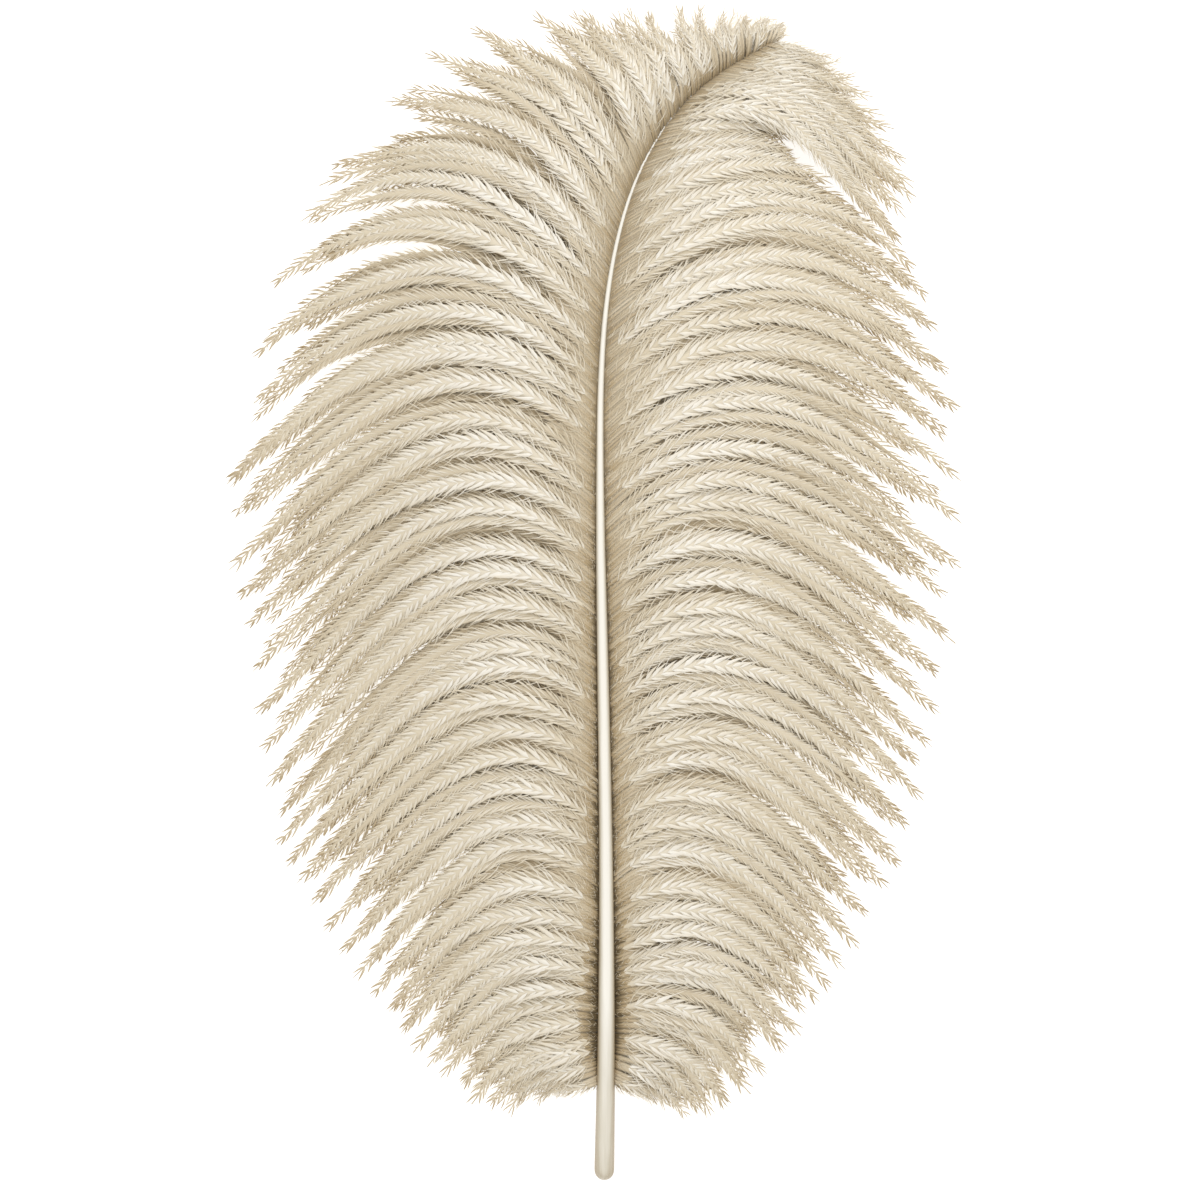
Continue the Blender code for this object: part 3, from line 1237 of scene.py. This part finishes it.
@dataclass
class Vane:
    """One vane: its locks of barbs, as joined meshes of fibres.

    Attributes:
        form: where its barbs run.
        seed: the source of what varies.
        short: how much of their reach the barbs have, by share of the shaft.
        over: where each barb that lies over the others starts and points, its reach and lift.
        nap: the short barbules on the bases of the barbs.
        groove: how strongly the bases darken towards the shaft, as painted shade in the groove
            beside it.
        locks: how many locks it has.
        lock_uneven: how unevenly the locks are spaced, in steps.
        lock_sizes: the least and the most height of a lock.
        converge: how far the barbs of a lock draw together at their tips, by share of the shaft.
        crowd: how much closer together the locks stand at the tip of the shaft.
        crowd_low: how much closer together they stand at the lowest barbs.
        crowd_span: the share of the shaft over which that fades.
        jitter: how unevenly the barbs of a lock are spread, in half widths of the lock.
        sway: how far the barbs sway in one, two and five half waves, and the phase's spread.
        over_sway: the same for the barbs that lie over the others.
        tip_lift: how far the barbs stand up at their tips.
        settle: how far all the locks are let down together.
        roll: how far the outer barbs of a lock roll away from its middle.
        sink: how far the barbs dip at the shaft, and the length over which that fades.
        over_sink: the same for the barbs that lie over the others.
        ridge_painted_light: painted light on the locks: how much paler the top of a lock is, and
            the height with no change.
        tone_spread: how much the tones of barbs vary.
        over_tone: the tone of the barbs that lie over the others.
        over_tip_lift: how far those barbs stand up at their tips.
    """

    form: VaneForm
    seed: int
    short: Profile
    over: Rows
    nap: Barbules
    groove: float = 1.0
    locks: int = 46
    lock_uneven: float = 0.07
    lock_sizes: tuple[float, float] = (0.55, 1.35)
    converge: Profile = Profile((0.0, 0.80, 0.89, 1.0), (0.50, 0.50, 0.78, 0.80))
    crowd: float = 1.0
    crowd_low: float = 1.5
    crowd_span: float = 0.09
    jitter: float = 0.07
    sway: tuple[float, ...] = (1.5, 0.8, 0.35, 3.0)
    over_sway: tuple[float, ...] = (0.8, 0.4, 0.2, 3.0)
    tip_lift: float = 0.3
    settle: float = 1.0
    roll: float = 28.0
    sink: tuple[float, float] = (2.6, 12.0)
    over_sink: tuple[float, float] = (2.0, 9.0)
    ridge_painted_light: tuple[float, float] = (0.10, 0.6)
    tone_spread: float = 0.05
    over_tone: float = 0.62
    over_tip_lift: float = 0.6

    def chance(self, salt: int) -> np.random.Generator:
        """A source of random draws of its own for each use."""
        return np.random.default_rng(self.seed * 100 + salt)

    def centres(self, chance: np.random.Generator) -> tuple[Array, Array]:
        """Share out the locks along the shaft, closer together near its ends.

        Args:
            chance: the source of what varies.

        Returns:
            Each lock's middle as a share of the shaft, and its width.
        """
        low, high = self.form.first, self.form.last
        shares = np.linspace(low, high, 400)
        crowded = 1 + self.crowd * np.exp(-(((high - shares) / self.crowd_span) ** 2))
        crowded = crowded + self.crowd_low * np.exp(-(((shares - low) / self.crowd_span) ** 2))
        count = np.concatenate(([0.0], np.cumsum((crowded[1:] + crowded[:-1]) / 2)))
        count = count / count[-1] * self.locks
        order = np.arange(self.locks) + 0.5 + chance.normal(0, self.lock_uneven, self.locks)
        middle = np.interp(order, count, shares)
        packed = np.interp(middle, shares, crowded)
        width = (high - low) / self.locks / packed * np.mean(crowded)
        return middle, width

    def spread(self, per_lock: Array, chance: np.random.Generator) -> dict[str, Array]:
        """Choose where the barbs of each lock start and run to.

        Args:
            per_lock: offsets of the barbs in a lock, in half widths of the lock.
            chance: the source of what varies.

        Returns:
            Arrays with one entry for each barb.
        """
        middle, width = self.centres(self.chance(0))
        lock = np.repeat(np.arange(self.locks), len(per_lock))
        offset = np.tile(per_lock, self.locks)
        size = self.chance(50).uniform(*self.lock_sizes, self.locks)
        jitter = chance.normal(0, self.jitter, len(lock))
        start = middle[lock] + (offset + jitter) * width[lock] / 2
        loose = 1 - self.converge.at(middle[lock])
        tip = middle[lock] + (offset + jitter) * loose * width[lock] / 2
        low, high = self.form.first, self.form.last
        return {
            "offset": offset,
            "size": size[lock],
            "start": np.clip(start, low, high),
            "tip": np.clip(tip, low, high),
        }

    def barbs(self, layer: Layer, chance: np.random.Generator) -> Barbs:
        """Lay one layer of barbs over the form.

        Args:
            layer: the layer.
            chance: the source of what varies.

        Returns:
            The barbs.
        """
        spots = self.spread(np.array(layer.offsets), chance)
        count = len(spots["start"])
        ridge = (1 - spots["offset"] ** 2) * spots["size"]
        # Painted light: the tops of the locks are paler and their sides darker.
        paler = self.ridge_painted_light[0] * (ridge - self.ridge_painted_light[1])
        wander = chance.normal(0, 1, (count, 4)) * np.array(self.sway)
        return Barbs(
            form=self.form,
            start=spots["start"],
            tip=spots["tip"],
            reach=chance.uniform(*layer.reach, count) * self.short.at(spots["start"]),
            lift=np.stack((layer.lift * ridge - self.settle, self.tip_lift * ridge), -1),
            lean=np.radians(self.roll) * spots["offset"] * -self.form.side.value,
            tone=layer.tone + paler + chance.normal(0, self.tone_spread, count),
            wander=wander,
            sink=self.sink[0],
            sink_span=self.sink[1],
            drop=layer.drop,
        )

    def over_barbs(self, chance: np.random.Generator) -> Barbs:
        """Lay the barbs that lie over the others: an overhanging lock, and long strays.

        Args:
            chance: the source of what varies.

        Returns:
            The barbs.
        """
        start, tip, reach, lift = np.array(self.over).T
        count = len(start)
        wander = chance.normal(0, 1, (count, 4)) * np.array(self.over_sway)
        return Barbs(
            form=self.form,
            start=start,
            tip=tip,
            reach=reach,
            lift=np.stack((lift, np.full(count, self.over_tip_lift)), -1),
            lean=np.zeros(count),
            tone=chance.normal(self.over_tone, self.tone_spread, count),
            wander=wander,
            sink=self.over_sink[0],
            sink_span=self.over_sink[1],
        )

    def piece(
        self, word: str, clouds: list[FibreCloud], finish: bpy.types.Material
    ) -> bpy.types.Object:
        """Join clouds of fibres into one piece of the vane, and report it.

        Args:
            word: the end of the piece's name.
            clouds: its fibres.
            finish: the barbs' material.

        Returns:
            The piece.
        """
        name = f"{self.form.side.word}_{word}"
        log.info("%s: %d triangles", name, sum(cloud.triangles for cloud in clouds))
        return place(name, joined_mesh(name, clouds), finish)

    def build(
        self, layers: tuple[Layer, ...], finish: bpy.types.Material
    ) -> list[bpy.types.Object]:
        """Make the vane's pieces.

        Args:
            layers: its layers, from the top down.
            finish: the barbs' material.

        Returns:
            The pieces.
        """
        bases = BarbBases(self.form, self.seed * 100 + 9, self.nap, self.groove)
        pieces = [self.piece("barb_bases", bases.clouds(), finish)]
        for layer in layers:
            chance = self.chance(layer.salt)
            clouds = self.grow(layer, self.barbs(layer, chance), chance)
            pieces.append(self.piece(layer.word, clouds, finish))
        chance = self.chance(70)
        clouds = self.grow(layers[0], self.over_barbs(chance), chance)
        pieces.append(self.piece("over_barbs", clouds, finish))
        return pieces

    def grow(self, layer: Layer, barbs: Barbs, chance: np.random.Generator) -> list[FibreCloud]:
        """Grow a layer's rods and barbules on barbs.

        Args:
            layer: the layer whose rods and barbules they are.
            barbs: the barbs to grow them on.
            chance: the source of what varies.

        Returns:
            The fibres.
        """
        clouds = [rod.cloud(barbs) for rod in layer.rods]
        return clouds + [rows.cloud(barbs, chance) for rows in layer.rows]


def felt_nap() -> Barbules:
    """Describe the short barbules on the bases of the barbs.

    Returns:
        The rows of barbules.
    """
    return Barbules(
        template=Template(2),
        pitch=even_run(4.6, 4.6),
        length=even_run(3.0, 4.5),
        width=even_run(0.6, 0.6),
        angle=even_run(36.0, 30.0),
        height=0.6,
        droop=-0.04,
        tone=0.10,
        fade=0.4,
        first=7.0,
        latest=0.35,
        uneven=0.4,
    )


def barb_rods() -> tuple[Rod, Rod, Rod]:
    """Describe the rods that run along a barb.

    Returns:
        The stem, the dense down round it, and a simpler down for barbs that hardly show.
    """
    stem = Rod(
        template=Template(28),
        width=even_run(0.7, 0.6),
        height=even_run(0.5, 0.4),
        drop=0.25,
        tone=TONE_ALONG,
    )
    down = Rod(
        template=Template(28, 6),
        width=Profile(DOWN_PLACES, (0.8, 2.6, 5.4, 6.0, 4.8, 2.2, 0.6, 0.4)),
        height=Profile(DOWN_PLACES, (0.6, 1.6, 2.8, 2.1, 1.2, 0.7, 0.4, 0.3)),
        drop=0.15,
        tone=Profile(
            TONE_ALONG.places, (-0.25, -0.20, -0.12, -0.06, -0.08, -0.10, -0.12, -0.22, -0.32)
        ),
        shrink=1.5,
    )
    return stem, down, replace(down, template=Template(16, 4))


def barbule_rows() -> tuple[Barbules, Barbules, Barbules, Barbules]:
    """Describe the barbules on a barb.

    Returns:
        Broad ones for the tops of the locks, finer ones for their sides, long thin ones that
        stray over both, and wide ones for the layer below.
    """
    crest = Barbules(
        template=Template(4),
        pitch=Profile(BARB_PLACES, (3.4, 4.4, 4.8, 4.0, 3.1, 3.2, 4.0, 4.2)),
        length=Profile(BARB_PLACES, (5.0, 8.0, 10.5, 10.0, 9.0, 8.4, 7.0, 4.2)),
        width=Profile(BARB_PLACES, (0.8, 1.3, 2.0, 1.70, 1.20, 1.10, 1.15, 1.05)),
        angle=Profile(BARB_PLACES, (18.0, 21.0, 22.0, 24.0, 27.0, 25.0, 21.0, 14.0)),
        tone=0.09,
        fade=0.42,
    )
    flank = replace(
        crest,
        template=Template(2),
        pitch=Profile(BARB_PLACES, (2.6, 3.1, 3.3, 3.0, 2.8, 3.2, 4.2, 4.6)),
        width=Profile(BARB_PLACES, (0.7, 1.0, 1.4, 1.25, 1.02, 1.05, 1.12, 1.05)),
        tone=0.08,
        fade=0.40,
    )
    wisps = Barbules(
        template=Template(2),
        pitch=even_run(4.2, 3.8),
        length=Profile((0.0, 0.2, 0.6, 0.8, 1.0), (9.0, 12.5, 11.0, 6.0, 0.6)),
        width=even_run(0.6, 0.5),
        angle=Profile((0.0, 0.2, 0.8, 1.0), (36.0, 38.0, 34.0, 22.0)),
        droop=0.14,
        tone=0.10,
        uneven=0.35,
    )
    under = Barbules(
        template=Template(2),
        pitch=even_run(3.0, 3.0),
        length=crest.length,
        width=even_run(2.4, 1.4),
        angle=even_run(34.0, 30.0),
        tone=0.12,
    )
    return crest, flank, wisps, under


def vane_layers() -> tuple[Layer, ...]:
    """Describe the layers that both vanes share.

    Returns:
        The layers, from the top down.
    """
    stem, down, thin = barb_rods()
    crest, flank, wisps, under = barbule_rows()
    # Each layer down is darker, as painted shade under the tops of the locks.
    return (
        Layer(
            word="crest_barbs",
            offsets=(0.0,),
            reach=(0.96, 1.05),
            lift=4.2,
            tone=0.57,
            rows=(crest, wisps),
            rods=(stem, down),
            salt=1,
        ),
        Layer(
            word="flank_barbs",
            offsets=(-0.5, 0.5),
            reach=(0.86, 1.0),
            lift=4.0,
            tone=0.46,
            rows=(flank, wisps),
            rods=(stem, down),
            salt=2,
        ),
        Layer(
            word="valley_barbs",
            offsets=(-1.0, 0.98),
            reach=(0.80, 0.97),
            lift=4.0,
            tone=0.28,
            rows=(flank,),
            rods=(stem, down),
            salt=3,
        ),
        Layer(
            word="under_barbs",
            offsets=(-0.7, 0.0, 0.7),
            reach=(0.70, 0.90),
            lift=0.0,
            tone=0.24,
            rows=(under,),
            rods=(thin,),
            salt=4,
            drop=1.2,
        ),
    )


@dataclass(frozen=True)
class Lamp:
    """A soft square lamp that faces the plume.

    Attributes:
        name: its name.
        at: its place, in metres.
        size: its side, in metres.
        power: its power, in watts.
    """

    name: str
    at: tuple[float, float, float]
    size: float
    power: float

    def build(self) -> None:
        """Hang the lamp."""
        data = bpy.data.lights.new(self.name, "AREA")
        data.size = self.size
        data.energy = self.power
        lamp = bpy.data.objects.new(self.name, data)
        lamp.location = self.at
        lamp.rotation_euler = (-Vector(self.at)).to_track_quat("-Z", "Y").to_euler()
        bpy.context.scene.collection.objects.link(lamp)


@dataclass
class Studio:
    """The floor, the lights and the camera.

    Attributes:
        width: how much of the floor the camera's frame takes in, in metres.
        aim: the place in the middle of the frame, in metres.
        lens: the camera's focal length.
        sensor: the width of its sensor.
        half_floor: half the floor's side, in metres.
        lamps: the key from beyond the tip, and the fill from beside the quill.
        air: the colour and strength of the light from all round.
    """

    width: float = 0.516
    aim: tuple[float, float] = (0.0024, -0.0015)
    lens: float = 85.0
    sensor: float = 36.0
    half_floor: float = 3.0
    lamps: tuple[Lamp, ...] = (
        Lamp("key", (0.45, 1.05, 1.0), 0.7, 8.0),
        Lamp("fill", (-0.6, -0.9, 1.2), 1.2, 4.0),
    )
    air: tuple[tuple[float, float, float, float], float] = ((1.0, 0.965, 0.90, 1.0), 0.78)

    def build(self) -> None:
        """Set up the stage."""
        self.floor()
        for lamp in self.lamps:
            lamp.build()
        world = bpy.data.worlds.new("studio")
        world.use_nodes = True
        back = world.node_tree.nodes["Background"]
        back.inputs["Color"].default_value, back.inputs["Strength"].default_value = self.air
        bpy.context.scene.world = world
        bpy.context.scene.view_settings.view_transform = "Standard"
        self.camera()

    def floor(self) -> None:
        """Lay a plain pale surface."""
        shape = bmesh.new()
        bmesh.ops.create_grid(shape, x_segments=1, y_segments=1, size=self.half_floor)
        mesh = bpy.data.meshes.new("floor")
        shape.to_mesh(mesh)
        shape.free()
        place("floor", mesh, PaperFinish().material())

    def camera(self) -> None:
        """Hang a camera straight above, at the height that frames the plume."""
        data = bpy.data.cameras.new("camera")
        data.lens = self.lens
        data.sensor_width = self.sensor
        camera = bpy.data.objects.new("camera", data)
        height = self.width * self.lens / self.sensor
        camera.location = (self.aim[0], self.aim[1], height)
        bpy.context.scene.collection.objects.link(camera)
        bpy.context.scene.camera = camera


# Places on each vane's outline: share of the shaft, X, Y, and the direction of the barb there.
LEFT_TIPS: Rows = (
    (0.086, -20.0, -217.0, -68.0),
    (0.100, -36.0, -222.0, -60.0),
    (0.125, -56.0, -216.0, -55.0),
    (0.165, -76.0, -198.0, -51.0),
    (0.240, -101.0, -167.0, -47.0),
    (0.335, -128.0, -128.0, -44.0),
    (0.440, -141.0, -82.0, -45.0),
    (0.535, -151.0, -17.0, -44.0),
    (0.635, -157.2, 52.0, -46.0),
    (0.695, -142.0, 121.0, -41.0),
    (0.745, -118.0, 177.0, -24.0),
    (0.795, -79.0, 229.0, 15.0),
    (0.855, -24.0, 251.0, 40.0),
    (0.910, 22.0, 253.5, 80.0),
    (0.960, 60.0, 253.5, 118.0),
    (1.000, 87.0, 246.0, 148.0),
)
RIGHT_TIPS: Rows = (
    (0.086, 26.0, -219.0, -64.0),
    (0.100, 40.0, -225.0, -57.0),
    (0.125, 62.0, -218.0, -52.0),
    (0.165, 86.0, -192.0, -48.0),
    (0.240, 106.0, -163.0, -46.0),
    (0.335, 132.0, -117.0, -42.0),
    (0.440, 147.0, -64.0, -40.0),
    (0.535, 157.0, -5.0, -38.0),
    (0.635, 157.0, 66.0, -42.0),
    (0.695, 151.0, 105.0, -42.0),
    (0.745, 140.0, 136.0, -44.0),
    (0.800, 133.0, 150.0, -47.0),
    (0.860, 129.0, 155.0, -48.0),
    (0.900, 131.0, 160.0, -47.0),
    (0.935, 137.0, 176.0, -38.0),
    (0.958, 128.0, 202.0, -12.0),
    (0.978, 114.0, 222.0, 12.0),
    (1.000, 101.0, 237.0, 32.0),
)
# How much of their reach the barbs have. On the right, the lock that hangs over hides short ones.
LEFT_SHORT = even_run(1.0, 1.0)
RIGHT_SHORT = Profile((0.755, 0.79, 0.82, 0.86, 0.885, 0.91), (1.0, 0.80, 0.62, 0.50, 0.58, 1.0))
# Where each barb that lies over the others starts and points, its reach and its lift.
LEFT_OVER: Rows = (
    (0.640, 0.632, 1.03, 4.0),
    (0.752, 0.744, 1.03, 3.0),
    (0.885, 0.876, 1.02, 2.5),
    (0.912, 0.900, 1.03, 2.5),
    (0.934, 0.928, 1.04, 2.5),
    (0.958, 0.962, 1.06, 2.5),
    (0.980, 0.986, 1.06, 2.0),
)
RIGHT_OVER: Rows = (
    (0.886, 0.772, 0.86, 6.0),
    (0.896, 0.788, 0.98, 8.0),
    (0.905, 0.800, 1.02, 9.5),
    (0.914, 0.830, 1.04, 9.0),
    (0.923, 0.880, 0.98, 7.5),
    (0.931, 0.905, 0.96, 6.0),
    (0.950, 0.934, 1.09, 3.0),
    (0.966, 0.962, 1.06, 2.5),
    (0.982, 0.980, 1.12, 2.5),
    (0.994, 0.990, 1.10, 2.0),
)


def main() -> None:
    """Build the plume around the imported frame."""
    logging.basicConfig(level=logging.INFO, format="%(message)s")
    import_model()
    Studio().build()
    line = ShaftLine()
    shaft = Shaft(line).dress(HornFinish())
    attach(shaft, "root")
    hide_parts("shaft")
    down = DownFinish().material()
    layers, nap = vane_layers(), felt_nap()
    vanes = (
        Vane(VaneForm(Side.LEFT, line, LEFT_TIPS), 11, LEFT_SHORT, LEFT_OVER, nap),
        # The right vane's bases take less painted shade by the shaft, as the shaft's painted shadow
        # falls to its left.
        Vane(VaneForm(Side.RIGHT, line, RIGHT_TIPS), 23, RIGHT_SHORT, RIGHT_OVER, nap, groove=0.8),
    )
    for vane in vanes:
        for piece in vane.build(layers, down):
            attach(piece, "root")
            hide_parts(f"{vane.form.side.word}_vane")


if __name__ == "__main__":
    main()
